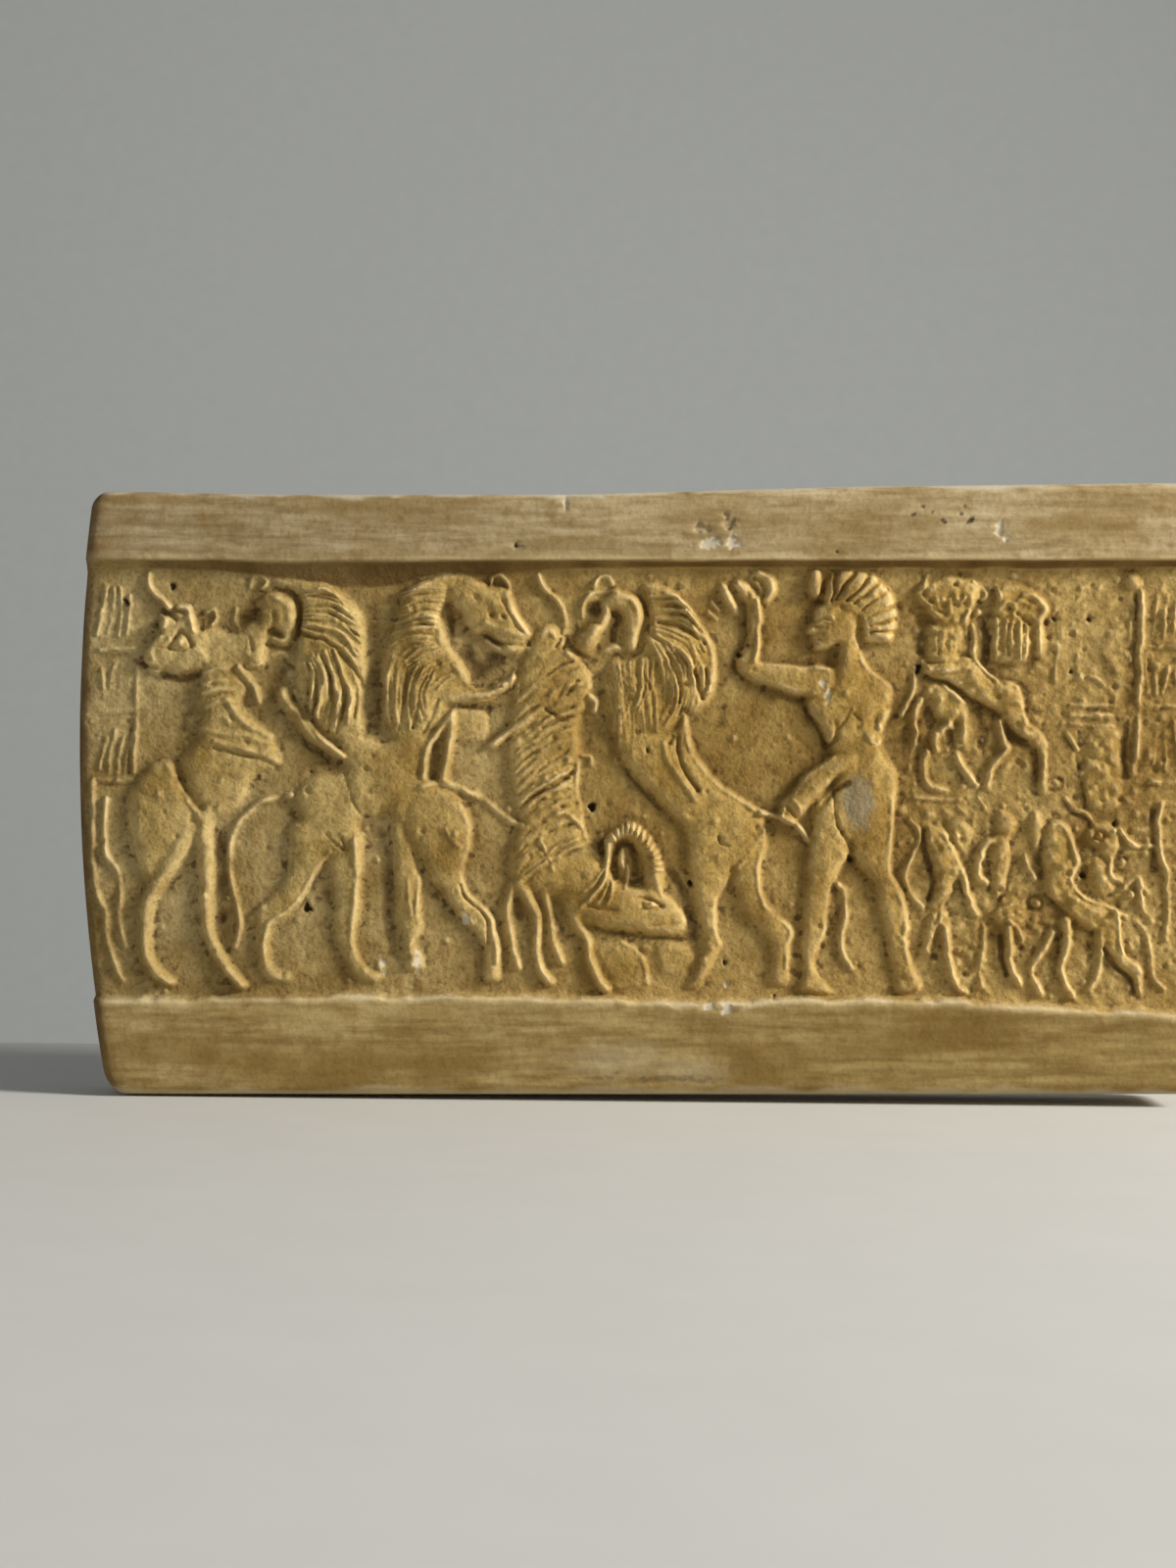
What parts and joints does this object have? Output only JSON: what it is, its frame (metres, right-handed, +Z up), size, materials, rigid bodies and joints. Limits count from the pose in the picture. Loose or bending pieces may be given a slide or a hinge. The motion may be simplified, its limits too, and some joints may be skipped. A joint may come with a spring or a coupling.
{
  "type": "framed relief tablet",
  "caption": "Long plaster relief tablet with raised plain bands above and below a panel of contest figures, flat at the back for fixing to a wall.",
  "frame": {"origin": "middle of the flat back, where the tablet lies against a wall", "axes": "+X along the tablet to the viewer's right, +Y from the carved front into the wall, +Z up"},
  "size_m": [0.236, 0.018, 0.124],
  "materials": {
    "tinted_plaster": "matte ochre wash on cast plaster, darker in the recesses"
  },
  "bodies": {
    "root": {"relief_tablet": "tinted_plaster"}
  },
  "joints": []
}
